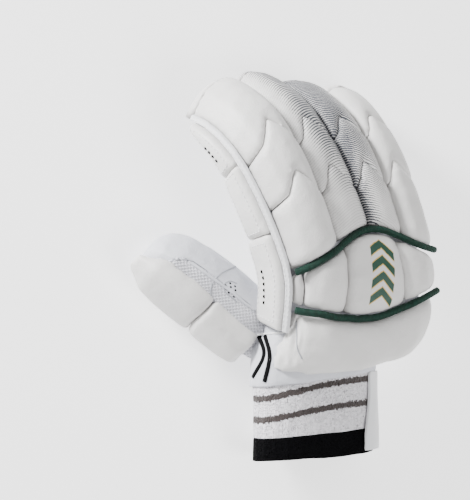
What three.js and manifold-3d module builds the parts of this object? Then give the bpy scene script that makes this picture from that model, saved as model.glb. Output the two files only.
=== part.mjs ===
// Right-hand cricket batting glove, seen from the back in its own frame.
// Millimetres. While it is modelled, the wrist is at the origin, +Y runs to the fingers,
// +X to the little finger and +Z out of the back of the hand. At the end the glove is
// laid palm down on the floor, so that +Z is up and +Y still runs to the fingers.
import * as THREE from 'three';
import { mergeVertices } from 'three/addons/utils/BufferGeometryUtils.js';
import { ConvexHull } from 'three/addons/math/ConvexHull.js';
import Module from 'manifold-3d';

const wasm = await Module();
wasm.setup();

// General sizes
const LEATHER = 2.0; // wall of the hand, finger and thumb leather
const FIT = 0.4; // clearance between two pieces that touch
const SEAM = 0.7; // open line between two pads that are sewn side by side

// Hand
const HAND_LENGTH = 84; // wrist to knuckle, along the back of the middle row
const ROW_PITCH = 28.2; // centre to centre of two finger rows at the wrist
const HAND_OFFSET = 22; // the middle of the four rows lies this far to the little finger
const HAND_HEIGHT = 26; // back of the hand over the wrist's axis
const HAND_DEPTH = 54; // back leather to palm leather at the fullest place
const EDGE_TILT = 25; // degrees that the outer edges of the back turn down
const EDGE_REACH = 1.12; // outer half rows are this much wider than the inner ones
const SIDE_BULGE = 1.6; // fullness of the side walls of the hand
const WRIST_EDGE = 10; // leather that reaches back over the cuff

// Fingers
const FINGER_LENGTH = 158; // knuckle to end of the back, middle finger
const STALL_WIDTH = 26;
const STALL_SPREAD = 0.35; // share of a row's spare width that its stall takes up
const STALL_DEPTH = 24;
const STALL_CAP = 9; // rounded end of a stall past the end of its back

// Pads on the back
const PAD_SEAT = 0.9; // underside of a pad over the leather
const PAD_RISE = 16; // crown of a finger pad over the leather
const PAD_SIDE = 8; // height of a finger pad where it meets its neighbour
const PAD_EDGE = 5; // the same height at the outer edge of the little finger
const HAND_PAD_RISE = 14; // crown of the pads between the two cords
const ROLL_RISE = 16; // crown of the wrist roll
const ROLL_REACH = 4; // how far the roll hangs back past the wrist at its middle
const CORD_DIAMETER = 5.4; // piping along the back
const CORD_HEIGHT = 11; // centre of the piping over the leather

// Side bar on the index finger
const BAR_THICKNESS = 10;
const BAR_DEPTH = 27;
const GUSSET_THICKNESS = 2.4;

// Thumb
const THUMB_LENGTH = 126;
const THUMB_WIDTH = 38;
const THUMB_DEPTH = 36;
const THUMB_PAD = 13; // thickness of the two thumb pads
const MESH_END = 0.88; // share of the thumb where its mesh gives way to leather

// Cuff
const CUFF_WIDTH = 97;
const CUFF_DEPTH = 50;
const CUFF_LENGTH = 66; // wrist to the free edge
const CUFF_WALL = 3.2;
const CUFF_TUCK = 1; // cuff inside the leather past the wrist
const CUFF_SLOPE = 0.12; // the knit rows climb to the little finger
const HEM_SLOPE = 0.06;
const HEM_LENGTH = 17;
const STRAP_THICKNESS = 2.6;
const STRAP_LENGTH = 49; // along the arm
const STRAP_GAP = 1.0; // strap's upper edge to the leather's edge

// How far the floor presses in the leather and the cuff where the glove rests
const FLOOR_PRESS = 0.9;

// One row for each finger, from the index finger on. place is counted in row pitches from
// the middle of the hand. height, hand and finger are shares of HAND_HEIGHT, HAND_LENGTH
// and FINGER_LENGTH. The leans are to the thumb and the slopes down to the floor, degrees.
// side is how far the stall moves under its pads to the little finger, of the room it has.
const FINGERS = [
  { name: 'index', place: -1.5, height: 0.77, hand: 0.93, finger: 0.965,
    handLean: -0.5, fingerLean: 15.2, back: -16, knuckle: 3, middle: 25.5, tip: 79, side: -0.8 },
  { name: 'middle', place: -0.5, height: 1, hand: 1, finger: 1,
    handLean: -5.5, fingerLean: 12.1, back: -7, knuckle: 11.3, middle: 31, tip: 78, side: 0 },
  { name: 'ring', place: 0.5, height: 1, hand: 1, finger: 0.91,
    handLean: -5.5, fingerLean: 8.8, back: -6, knuckle: 12.5, middle: 30, tip: 74, side: 0 },
  { name: 'little', place: 1.5, height: 0.77, hand: 0.93, finger: 0.89,
    handLean: -5, fingerLean: 6.5, back: -12.6, knuckle: 14, middle: 28, tip: 65.5, side: 0 },
];

// Saw-tooth seams between the pads of each finger. kinkAt and pointAt say where across the
// pad the kink and the point are, from -1 at the left to 1 at the right. The other columns
// are shares of the row's whole length: near is the seam nearer the wrist, far the other.
const SEAMS = [
  { finger: 'index', kinkAt: -0.45, pointAt: 0.02,
    near: { left: 0.520, kink: 0.543, point: 0.616, right: 0.520 },
    far: { left: 0.678, kink: 0.713, point: 0.783, right: 0.680 } },
  { finger: 'middle', kinkAt: -0.70, pointAt: -0.18,
    near: { left: 0.520, kink: 0.530, point: 0.602, right: 0.532 },
    far: { left: 0.680, kink: 0.690, point: 0.757, right: 0.698 } },
  { finger: 'ring', kinkAt: -0.70, pointAt: -0.19,
    near: { left: 0.535, kink: 0.560, point: 0.648, right: 0.572 },
    far: { left: 0.709, kink: 0.725, point: 0.802, right: 0.748 } },
  { finger: 'little', kinkAt: -0.70, pointAt: -0.19,
    near: { left: 0.578, kink: 0.596, point: 0.687, right: 0.600 },
    far: { left: 0.748, kink: 0.768, point: 0.855, right: 0.800 } },
];

// Course of the two cords over the back: row counts from 0 at the thumb side to 4,
// near and far are shares of the rows' whole length.
const CORDS = [
  { row: 0, near: 0.183, far: 0.305 },
  { row: 0.5, near: 0.180, far: 0.337 },
  { row: 1, near: 0.157, far: 0.359 },
  { row: 1.5, near: 0.143, far: 0.384 },
  { row: 2, near: 0.150, far: 0.409 },
  { row: 2.3, near: 0.160, far: 0.415 },
  { row: 3, near: 0.199, far: 0.400 },
  { row: 4, near: 0.262, far: 0.371 },
];

// Pads between the two cords, from row to row.
const HAND_PADS = [
  { name: 'hand_pad_thumb_side', from: 0.0, to: 0.2, rise: 0.7 },
  { name: 'hand_pad_index', from: 0.2, to: 1.15, rise: 0.92 },
  { name: 'hand_pad_middle', from: 1.15, to: 2.8, rise: 1 },
  { name: 'hand_pad_little', from: 2.8, to: 4, rise: 0.92 },
];

// Depth of the hand from back to palm as shares of HAND_DEPTH, by share of row length.
const HAND_SECTIONS = [
  { along: 0.00, depth: 0.93 },
  { along: 0.15, depth: 1.00 },
  { along: 0.30, depth: 1.00 },
  { along: 0.40, depth: 0.90 },
  { along: 0.50, depth: 0.70 },
  { along: 0.60, depth: 0.56 },
];

// Side bar: each part runs from one share of the index row to another, with its upper and
// lower edge as shares of BAR_DEPTH below the edge of the back, at its near and far end.
const BARS = [
  { name: 'side_bar_hand', from: 0.105, to: 0.455, top: -0.15, near: 1, far: 0.95,
    tuckNear: 0, tuckFar: 0 },
  { name: 'side_bar_finger', from: 0.458, to: 0.70, top: -0.17, near: 0.86, far: 0.62,
    tuckNear: -0.2, tuckFar: 0.45 },
  { name: 'side_bar_tip', from: 0.703, to: 0.965, top: -0.13, near: 0.6, far: 0.1,
    tuckNear: 0.45, tuckFar: 0.45 },
];

// Thumb leather in sections along its axis. up, down are half widths to the index finger
// and away from it as shares of THUMB_WIDTH, nail and pulp half depths as shares of THUMB_DEPTH.
const THUMB_SECTIONS = [
  { along: 0.00, up: 0.37, down: 0.32, nail: 0.30, pulp: 0.40 },
  { along: 0.16, up: 0.42, down: 0.42, nail: 0.38, pulp: 0.58 },
  { along: 0.32, up: 0.46, down: 0.48, nail: 0.44, pulp: 0.74 },
  { along: 0.50, up: 0.57, down: 0.48, nail: 0.45, pulp: 0.78 },
  { along: 0.68, up: 0.64, down: 0.46, nail: 0.43, pulp: 0.72 },
  { along: 0.84, up: 0.60, down: 0.43, nail: 0.41, pulp: 0.68 },
  { along: 0.94, up: 0.50, down: 0.37, nail: 0.36, pulp: 0.56 },
  { along: 0.985, up: 0.32, down: 0.25, nail: 0.25, pulp: 0.36 },
  { along: 1.00, up: 0.14, down: 0.12, nail: 0.12, pulp: 0.16 },
];
// Thumb root inside the palm, as shares of CUFF_WIDTH, HAND_LENGTH and HAND_DEPTH.
const THUMB_ROOT = { across: -0.186, along: 0.06, up: -0.222 };
const THUMB_LEAN = { out: 49.3, drop: 18.7 }; // degrees out from +Y and down
const THUMB_ROLL = 20.3; // degrees that the thumb nail turns up from level
const THUMB_SEAM = 0.53; // share of the thumb where the two pads meet

// Small helpers

const radians = (degrees) => THREE.MathUtils.degToRad(degrees);
const mix = (a, b, f) => a + (b - a) * f;
const clamp01 = (x) => Math.min(1, Math.max(0, x));
const smooth = (x) => clamp01(x) * clamp01(x) * (3 - 2 * clamp01(x));

function tableValue(table, key, column, x) {
  if (x <= table[0][key]) {
    return table[0][column];
  }
  for (let k = 1; k < table.length; k += 1) {
    if (x <= table[k][key]) {
      const f = (x - table[k - 1][key]) / (table[k][key] - table[k - 1][key]);
      return mix(table[k - 1][column], table[k][column], f);
    }
  }
  return table[table.length - 1][column];
}

// Finger rows: the back of each finger as a curve with its own across and out directions

const ROW_STEPS = 160;

function makeRow(finger) {
  const hand = HAND_LENGTH * finger.hand;
  const reach = FINGER_LENGTH * finger.finger;
  const length = hand + reach;
  const slopes = [
    { s: 0, v: finger.back },
    { s: hand - HAND_LENGTH * 0.42, v: finger.back },
    { s: hand, v: finger.knuckle },
    { s: hand + reach / 2, v: finger.middle },
    { s: length, v: finger.tip },
  ];
  const leans = [
    { s: 0, v: finger.handLean },
    { s: hand - HAND_LENGTH * 0.3, v: finger.handLean },
    { s: hand + FINGER_LENGTH * 0.065, v: finger.fingerLean },
    { s: length, v: finger.fingerLean },
  ];
  const frames = [];
  for (let k = 0; k <= ROW_STEPS; k += 1) {
    const s = (length * k) / ROW_STEPS;
    const slope = radians(tableValue(slopes, 's', 'v', s));
    const lean = radians(tableValue(leans, 's', 'v', s));
    const along = new THREE.Vector3(
      -Math.sin(lean) * Math.cos(slope),
      Math.cos(lean) * Math.cos(slope),
      -Math.sin(slope),
    );
    const across = new THREE.Vector3(Math.cos(lean), Math.sin(lean), 0);
    const out = new THREE.Vector3().crossVectors(across, along);
    frames.push({ along, across, out, point: null });
  }
  frames[0].point = new THREE.Vector3(
    HAND_OFFSET + ROW_PITCH * finger.place,
    0,
    HAND_HEIGHT * finger.height,
  );
  for (let k = 1; k <= ROW_STEPS; k += 1) {
    const step = frames[k].along.clone().add(frames[k - 1].along);
    step.multiplyScalar(length / ROW_STEPS / 2);
    frames[k].point = frames[k - 1].point.clone().add(step);
  }
  return { length, frames };
}

const rows = FINGERS.map(makeRow);

function rowAt(index, t) {
  const { frames, length } = rows[index];
  const place = clamp01(t) * ROW_STEPS;
  const k = Math.min(ROW_STEPS - 1, Math.floor(place));
  const f = place - k;
  const a = frames[k];
  const b = frames[k + 1];
  const result = {
    point: a.point.clone().lerp(b.point, f),
    along: a.along.clone().lerp(b.along, f).normalize(),
    across: a.across.clone().lerp(b.across, f).normalize(),
    out: a.out.clone().lerp(b.out, f).normalize(),
  };
  const over = t > 1 ? t - 1 : Math.min(t, 0);
  result.point.addScaledVector(result.along, over * length);
  return result;
}

// Lines between the rows: 0 is the thumb edge of the back, 4 its little finger edge.
function lineAt(line, t) {
  if (line > 0 && line < 4) {
    const a = rowAt(line - 1, t);
    const b = rowAt(line, t);
    return {
      point: a.point.clone().add(b.point).multiplyScalar(0.5),
      out: a.out.clone().add(b.out).normalize(),
    };
  }
  const side = line === 0 ? -1 : 1;
  const outer = rowAt(line === 0 ? 0 : 3, t);
  const inner = rowAt(line === 0 ? 1 : 2, t);
  const half = (outer.point.distanceTo(inner.point) / 2) * EDGE_REACH;
  const tilt = radians(EDGE_TILT);
  return {
    point: outer.point.clone()
      .addScaledVector(outer.across, side * Math.cos(tilt) * half)
      .addScaledVector(outer.out, -Math.sin(tilt) * half),
    out: outer.out.clone().multiplyScalar(Math.cos(tilt))
      .addScaledVector(outer.across, side * Math.sin(tilt)),
  };
}

// A point over the back: row position u from 0 to 4, share t of the length, height h.
function backPoint(u, t, h) {
  const index = Math.min(3, Math.max(0, Math.floor(u)));
  const q = 2 * (u - index) - 1;
  const centre = rowAt(index, t);
  const left = lineAt(index, t);
  const right = lineAt(index + 1, t);
  const bend = (key) => {
    const half = right[key].clone().sub(left[key]).multiplyScalar(q / 2);
    const bow = right[key].clone().add(left[key]).multiplyScalar(0.5).sub(centre[key]);
    return centre[key].clone().add(half).addScaledVector(bow, q * q);
  };
  return bend('point').addScaledVector(bend('out').normalize(), h);
}

// Meshes

function geometryFrom(points, faces) {
  const geometry = new THREE.BufferGeometry();
  const data = new Float32Array(points.length * 3);
  points.forEach((p, k) => p.toArray(data, k * 3));
  geometry.setAttribute('position', new THREE.BufferAttribute(data, 3));
  geometry.setIndex(faces.flat());
  return geometry;
}

// Rings of equal length joined to a closed solid, with flat or pointed ends.
function solidFromRings(rings) {
  const n = rings[0].length;
  const points = rings.flat();
  const faces = [];
  for (let k = 0; k < rings.length - 1; k += 1) {
    for (let i = 0; i < n; i += 1) {
      const j = (i + 1) % n;
      const a = k * n + i;
      const b = k * n + j;
      faces.push([a, b, b + n], [a, b + n, a + n]);
    }
  }
  const centre = (ring) => {
    const c = new THREE.Vector3();
    ring.forEach((p) => c.add(p));
    return c.multiplyScalar(1 / n);
  };
  points.push(centre(rings[0]), centre(rings[rings.length - 1]));
  const first = points.length - 2;
  const last = points.length - 1;
  const top = (rings.length - 1) * n;
  for (let i = 0; i < n; i += 1) {
    const j = (i + 1) % n;
    faces.push([first, j, i], [last, top + i, top + j]);
  }
  return geometryFrom(points, faces);
}

// The same rings moved out along their own surface by a distance, or in by a negative one.
function offsetRings(rings, distance) {
  const n = rings[0].length;
  const last = rings.length - 1;
  return rings.map((ring, k) => ring.map((p, i) => {
    const around = ring[(i + 1) % n].clone().sub(ring[(i + n - 1) % n]);
    const ahead = rings[Math.min(last, k + 1)][i].clone().sub(rings[Math.max(0, k - 1)][i]);
    const normal = around.cross(ahead).normalize();
    return p.clone().addScaledVector(normal, distance);
  }));
}

// A padded block over any surface. place(a, b, h) gives its points for a and b from 0 to 1,
// low(a, b) and high(a, b) its underside and top.
function slab(place, columns, steps, low, high) {
  const points = [];
  const faces = [];
  const na = columns.length;
  const nb = steps.length;
  [high, low].forEach((height) => {
    steps.forEach((b) => columns.forEach((a) => points.push(place(a, b, height(a, b)))));
  });
  const at = (layer, i, j) => layer * na * nb + j * na + i;
  for (let j = 0; j < nb - 1; j += 1) {
    for (let i = 0; i < na - 1; i += 1) {
      const quad = (layer) => [at(layer, i, j), at(layer, i + 1, j), at(layer, i + 1, j + 1), at(layer, i, j + 1)];
      const [a, b, c, d] = quad(0);
      const [e, f, g, h] = quad(1);
      faces.push([a, b, c], [a, c, d], [e, g, f], [e, h, g]);
    }
  }
  for (let i = 0; i < na - 1; i += 1) {
    faces.push([at(1, i, 0), at(1, i + 1, 0), at(0, i + 1, 0)], [at(1, i, 0), at(0, i + 1, 0), at(0, i, 0)]);
    const k = nb - 1;
    faces.push([at(1, i + 1, k), at(1, i, k), at(0, i, k)], [at(1, i + 1, k), at(0, i, k), at(0, i + 1, k)]);
  }
  for (let j = 0; j < nb - 1; j += 1) {
    faces.push([at(1, 0, j + 1), at(1, 0, j), at(0, 0, j)], [at(1, 0, j + 1), at(0, 0, j), at(0, 0, j + 1)]);
    const k = na - 1;
    faces.push([at(1, k, j), at(1, k, j + 1), at(0, k, j + 1)], [at(1, k, j), at(0, k, j + 1), at(0, k, j)]);
  }
  return geometryFrom(points, faces);
}

function solid(geometry) {
  const bare = geometry.clone();
  bare.deleteAttribute('normal');
  bare.deleteAttribute('uv');
  const merged = mergeVertices(bare, 1e-5);
  return new wasm.Manifold(new wasm.Mesh({
    numProp: 3,
    vertProperties: new Float32Array(merged.attributes.position.array),
    triVerts: new Uint32Array(merged.index.array),
  }));
}

function fromSolid(body) {
  const mesh = body.getMesh();
  const geometry = new THREE.BufferGeometry();
  geometry.setAttribute('position', new THREE.BufferAttribute(new Float32Array(mesh.vertProperties), 3));
  geometry.setIndex(Array.from(mesh.triVerts));
  return geometry;
}

// Materials

const material = (color, roughness) => new THREE.MeshStandardMaterial({ color, roughness, metalness: 0 });
const WHITE_LEATHER = material(0xececec, 0.55);
const PALM_LEATHER = material(0xe3e5ea, 0.6);
const PAD_LEATHER = material(0xf0f0f0, 0.5);
const KNIT = material(0xf2f2f2, 0.95);
const BLACK_KNIT = material(0x111113, 0.95);
const GREEN_CORD = material(0x1f4a3a, 0.6);
const OPEN_MESH = material(0xd9dbe2, 0.85);

const glove = new THREE.Group();

function addPiece(name, geometry, look) {
  const mesh = new THREE.Mesh(geometry, look);
  mesh.name = name;
  glove.add(mesh);
  return mesh;
}

// Rounded section: points (a, b) around it, a across and b up, both from -1 to 1.
function roundedRing(sides, topPower, bottomPower) {
  const ring = [];
  for (let k = 0; k < sides; k += 1) {
    const angle = (2 * Math.PI * k) / sides;
    const a = -Math.cos(angle);
    const power = Math.sin(angle) > 0 ? topPower : bottomPower;
    const rise = Math.max(0, 1 - Math.abs(a) ** power) ** (1 / power);
    ring.push({ a, b: Math.sin(angle) > 0 ? rise : -rise });
  }
  return ring;
}

// Cuff and strap

const cuffSlope = (y) => mix(CUFF_SLOPE, HEM_SLOPE, clamp01(-y / CUFF_LENGTH));

function cuffRing(y, grow, sides) {
  return roundedRing(sides, 2.3, 2.3).map(({ a, b }) => {
    const x = a * (CUFF_WIDTH / 2 + grow);
    return new THREE.Vector3(x, y + cuffSlope(y) * x, b * (CUFF_DEPTH / 2 + grow));
  });
}

function cuffTube(from, to, steps) {
  const ring = (k, grow) => cuffRing(mix(from, to, k / steps), grow, 24);
  const outer = [];
  const bore = [];
  for (let k = 0; k <= steps; k += 1) {
    outer.push(ring(k, 0));
  }
  [from - 5, to + 5].forEach((y) => bore.push(cuffRing(y, -CUFF_WALL, 24)));
  return fromSolid(solid(solidFromRings(outer)).subtract(solid(solidFromRings(bore))));
}

const hemTop = -CUFF_LENGTH + HEM_LENGTH;
addPiece('cuff_hem', cuffTube(-CUFF_LENGTH, hemTop - FIT / 2, 1), BLACK_KNIT);
addPiece('cuff', cuffTube(hemTop + FIT / 2, CUFF_TUCK, 2), KNIT);

// The strap lies round the little finger side of the cuff, from the back to the palm.
function strap() {
  const top = -WRIST_EDGE - STRAP_GAP;
  const start = radians(-14);
  const end = radians(122);
  const place = (a, b, h) => {
    const lower = smooth((0.12 - b) / 0.12) * 0.04;
    const angle = mix(start, end - b * 0.02 - lower, a);
    const cx = Math.cos(angle);
    const cz = -Math.sin(angle);
    const round = (Math.abs(cx) ** 2.3 + Math.abs(cz) ** 2.3) ** (-1 / 2.3);
    const x = cx * round * (CUFF_WIDTH / 2 + h);
    const z = cz * round * (CUFF_DEPTH / 2 + h);
    const y = mix(top - STRAP_LENGTH, top, b);
    return new THREE.Vector3(x, y + cuffSlope(y) * x, z);
  };
  const columns = [];
  for (let k = 0; k <= 15; k += 1) {
    columns.push(k / 15);
  }
  const swell = () => STRAP_THICKNESS;
  return slab(place, columns, [0, 0.1, 0.5, 1], () => FIT, (a, b) => FIT + swell(a, b));
}

addPiece('wrist_strap', strap(), WHITE_LEATHER);

// Hand leather: the cuff's section at the wrist grows into the section under the four rows

const WEB = 0.585; // share of the rows where the hand leather turns in between the fingers
const handRing = roundedRing(24, 5, 2.6);

function handPoint(a, b, t) {
  const depth = HAND_DEPTH * tableValue(HAND_SECTIONS, 'along', 'depth', t);
  const middle = lineAt(2, t);
  const edge = backPoint(2 + 1.9999 * a, t, 0);
  const bulge = SIDE_BULGE * Math.sign(a) * Math.abs(a) ** 4 * (1 - Math.abs(b) * 0.5);
  const full = edge.addScaledVector(middle.out, (-depth * (1 - b)) / 2);
  full.addScaledVector(rowAt(1, t).across, bulge);
  return full;
}

function wristPoint(a, b, y) {
  const grow = LEATHER + FIT;
  const x = a * (CUFF_WIDTH / 2 + grow);
  return new THREE.Vector3(x, y + cuffSlope(y) * x, b * (CUFF_DEPTH / 2 + grow));
}

const handGrown = (t) => smooth((t - 0.015) / 0.14);

// Skin of the hand over the back: row position u, share t, height h over the leather.
function handSkin(u, t, h) {
  const a = Math.min(0.995, Math.max(-0.995, (u - 2) / 2));
  const wrist = wristPoint(a, (1 - Math.abs(a) ** 2.3) ** (1 / 2.3), t * rows[1].length);
  const full = handPoint(a, (1 - Math.abs(a) ** 5) ** (1 / 5), Math.max(0, t));
  return wrist.lerp(full, handGrown(t)).addScaledVector(lineAt(2, Math.max(0, t)).out, h);
}

function handRings() {
  const rings = [];
  const wrist = roundedRing(24, 2.3, 2.3);
  const stations = [-0.062, 0.015, 0.055, 0.095, 0.14, 0.22, 0.31, 0.39, 0.46, 0.53, WEB];
  stations.forEach((station) => {
    const t = station < 0 ? (station / 0.062) * (WRIST_EDGE / rows[1].length) : station;
    const grown = handGrown(t);
    rings.push(handRing.map(({ a, b }, k) => {
      const y = t * rows[1].length;
      const start = wristPoint(wrist[k].a, wrist[k].b, y);
      return start.lerp(handPoint(a, b, Math.max(t, 0)), grown);
    }));
  });
  [{ on: 0.012, size: 0.95 }, { on: 0.022, size: 0.8 }, { on: 0.028, size: 0.5 }].forEach(({ on, size }) => {
    const t = WEB + on;
    const centre = handPoint(0, 0, t);
    rings.push(handRing.map(({ a, b }) => handPoint(a * mix(size, 1, 0.75), b, t).lerp(
      handPoint(a * mix(size, 1, 0.75), 0, t),
      1 - size,
    ).lerp(centre, 0.02)));
  });
  return rings;
}

const handOuter = handRings();
const handInner = offsetRings(handOuter, -LEATHER);
handInner[0] = handInner[0].map((p) => p.clone().add(new THREE.Vector3(0, -5, 0)));
const handCavity = solid(solidFromRings(handInner));
let handWall = solid(solidFromRings(handOuter)).subtract(handCavity);

// Finger stalls: tubes under each row that start inside the hand and end round

const stallRing = roundedRing(12, 3.2, 2.4);
const STALL_ROOT = 0.50; // share of the row where the stall starts inside the hand

function stallPoint(index, a, b, t) {
  const frame = rowAt(index, t);
  const taper = mix(1, 0.94, clamp01((t - 0.6) / 0.4));
  const inset = (LEATHER + FIT * 2.5) * (1 - smooth((t - WEB) / 0.06));
  const pitch = lineAt(index, t).point.distanceTo(lineAt(index + 1, t).point);
  const wide = (STALL_WIDTH + STALL_SPREAD * Math.max(0, pitch - ROW_PITCH * 1.1)) * taper - inset * 2.2;
  const aside = FINGERS[index].side * (pitch - wide) * smooth((t - WEB) / 0.15);
  const top = backPoint(index + 0.5 + (aside + a * wide) / pitch / 2, t, -inset);
  return top.addScaledVector(frame.out, (-(STALL_DEPTH * taper) * (1 - b)) / 2);
}

function stallRings(index) {
  const { length } = rows[index];
  const rings = [];
  for (let k = 0; k <= 7; k += 1) {
    const t = mix(STALL_ROOT, 1, k / 7);
    rings.push(stallRing.map(({ a, b }) => stallPoint(index, a, b, t)));
  }
  const cap = STALL_CAP / length;
  [{ on: 0.6, size: 0.86 }, { on: 0.92, size: 0.58 }, { on: 1, size: 0.25 }].forEach(({ on, size }) => {
    const t = 1 + cap * on;
    const centre = stallPoint(index, 0, 0, t);
    rings.push(stallRing.map(({ a, b }) => centre.clone().lerp(stallPoint(index, a, b, t), size)));
  });
  return rings;
}

FINGERS.forEach((finger, index) => {
  const outer = stallRings(index);
  const bore = offsetRings(outer, -LEATHER);
  const back = (ring, by) => ring.map((p) => p.clone().addScaledVector(rowAt(index, STALL_ROOT).along, -by));
  bore[0] = back(bore[0], 4);
  const wall = solid(solidFromRings(outer)).subtract(solid(solidFromRings(bore)));
  const room = offsetRings(outer, FIT);
  room[0] = back(room[0], 2);
  handWall = handWall.subtract(solid(solidFromRings(room)));
  addPiece(`stall_${finger.name}`, fromSolid(wall), PALM_LEATHER);
});

// Thumb

const thumbAlong = new THREE.Vector3(
  -Math.sin(radians(THUMB_LEAN.out)) * Math.cos(radians(THUMB_LEAN.drop)),
  Math.cos(radians(THUMB_LEAN.out)) * Math.cos(radians(THUMB_LEAN.drop)),
  -Math.sin(radians(THUMB_LEAN.drop)),
);
const thumbLevel = new THREE.Vector3().crossVectors(thumbAlong, new THREE.Vector3(0, 0, 1)).normalize().negate();
const thumbUpright = new THREE.Vector3().crossVectors(thumbLevel, thumbAlong).normalize();
const thumbNail = thumbLevel.clone().multiplyScalar(Math.cos(radians(THUMB_ROLL)))
  .addScaledVector(thumbUpright, -Math.sin(radians(THUMB_ROLL)));
const thumbUp = new THREE.Vector3().crossVectors(thumbAlong, thumbNail).normalize();
const thumbRoot = new THREE.Vector3(
  CUFF_WIDTH * THUMB_ROOT.across,
  HAND_LENGTH * THUMB_ROOT.along,
  HAND_DEPTH * THUMB_ROOT.up,
);

// A point of the thumb's skin: a across to the index finger, b to the nail, both -1 to 1.
function thumbPoint(a, b, s, h) {
  const half = (column, size) => size * tableValue(THUMB_SECTIONS, 'along', column, s);
  const wide = half(a > 0 ? 'up' : 'down', THUMB_WIDTH) + h;
  const deep = half(b > 0 ? 'nail' : 'pulp', THUMB_DEPTH) + h;
  return thumbRoot.clone()
    .addScaledVector(thumbAlong, s * THUMB_LENGTH)
    .addScaledVector(thumbUp, a * wide)
    .addScaledVector(thumbNail, b * deep);
}

const thumbRing = roundedRing(14, 3.2, 2.5);
const thumbStations = THUMB_SECTIONS.map((row) => row.along);
thumbStations.splice(5, 0, 0.76);
thumbStations.splice(3, 0, 0.41);
const thumbOuter = thumbStations.map((s) => thumbRing.map(({ a, b }) => thumbPoint(a, b, s, 0)));
const thumbBore = solid(solidFromRings(offsetRings(thumbOuter, -LEATHER)));
const thumbWall = solid(solidFromRings(thumbOuter)).subtract(thumbBore).subtract(handCavity);
handWall = handWall.subtract(solid(solidFromRings(offsetRings(thumbOuter, FIT))));

const largest = (body) => body.decompose().sort((a, b) => b.volume() - a.volume())[0];
addPiece('hand_leather', fromSolid(largest(handWall)), PALM_LEATHER);

// The thumb's nail side and the side to the palm are open mesh, the pulp side and tip leather
function meshBlock(grow) {
  const corners = [{ a: -3, b: -1.95 }, { a: -3, b: 5 }, { a: 3, b: 5 }, { a: 3, b: 1.2 }];
  const ends = [-0.2, MESH_END - 0.12, MESH_END - 0.03, MESH_END];
  const lift = [0, 0, 0.35, 0.9];
  const rings = ends.map((s, k) => corners.map(({ a, b }) => thumbRoot.clone()
    .addScaledVector(thumbAlong, s * THUMB_LENGTH + grow)
    .addScaledVector(thumbUp, (a * THUMB_WIDTH) / 2)
    .addScaledVector(thumbNail, ((b + (b < 4 ? lift[k] : 0)) * THUMB_DEPTH) / 2 - (b < 4 ? grow : 0))));
  return solid(solidFromRings(rings));
}
const thumbWhole = largest(thumbWall);
addPiece('thumb_leather', fromSolid(largest(thumbWhole.subtract(meshBlock(FIT)))), PALM_LEATHER);
addPiece('thumb_mesh', fromSolid(largest(thumbWhole.intersect(meshBlock(0)))), OPEN_MESH);

// Two pads on the nail side of the thumb
function thumbPad(name, from, to, cap) {
  const columns = [0, 0.07, 0.25, 0.5, 0.75, 0.93, 1];
  const steps = cap > 0 ? [0, 0.05, 0.25, 0.5, 0.75, 0.9, 1] : [0, 0.06, 0.3, 0.7, 0.94, 1];
  const place = (a, b, h) => {
    const curve = 0.02 * (1 - (2 * a - 1) ** 2);
    const s = mix(from + curve, to + (cap > 0 ? 0 : curve), b);
    const flat = mix(0.9, 0.5, smooth((s - 0.9) / 0.12));
    const q = (2 * a - 1) * flat;
    const rise = Math.max(0, 1 - Math.abs(q) ** 3.2) ** (1 / 3.2);
    const base = thumbPoint(q, rise, Math.min(s, 0.93), FIT + 0.5);
    base.addScaledVector(thumbAlong, Math.max(0, s - 0.93) * THUMB_LENGTH);
    return base.addScaledVector(thumbNail, h);
  };
  const high = (a, b) => {
    const side = Math.max(0, 1 - Math.abs(2 * a - 1) ** 6) ** 0.5;
    const near = smooth(b / 0.08);
    const far = cap > 0 ? 1 - 0.55 * smooth((b - 0.72) / 0.28) : smooth((1 - b) / 0.08);
    return THUMB_PAD * mix(0.55, 1, side) * mix(0.8, 1, Math.min(near, far)) * (cap > 0 ? far : 1);
  };
  const geometry = slab(place, columns, steps, () => 0, high);
  addPiece(name, geometry, PAD_LEATHER);
}
thumbPad('thumb_pad_base', 0.2, THUMB_SEAM - 0.004, 0);
thumbPad('thumb_pad_tip', THUMB_SEAM + 0.004, 1.03, 1);

// Pads of the fingers

const cordHalf = CORD_DIAMETER / 2 + FIT + 0.2;

function seamAt(row, which, q) {
  const seam = row[which];
  const points = [
    { q: -1, t: seam.left },
    { q: row.kinkAt, t: seam.kink },
    { q: row.pointAt, t: seam.point },
    { q: 1, t: seam.right },
  ];
  return tableValue(points, 'q', 't', q);
}

const cordAt = (which, u) => tableValue(CORDS, 'row', which, u);

function crown(q, outer = 0) {
  const side = outer * q > 0 ? PAD_EDGE : PAD_SIDE;
  return mix(side, PAD_RISE, Math.max(0, 1 - Math.abs(q) ** 2.4) ** 0.8);
}

// 1 for the little finger's row, whose outer edge is thinner
const outerSide = (index) => (index === 3 ? 1 : 0);

function padColumns(index) {
  const { kinkAt, pointAt } = SEAMS[index];
  return [-1, kinkAt - 0.12, kinkAt, pointAt - 0.2, pointAt, 0.45, 0.85, 1].map((q) => (q + 1) / 2);
}

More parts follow.
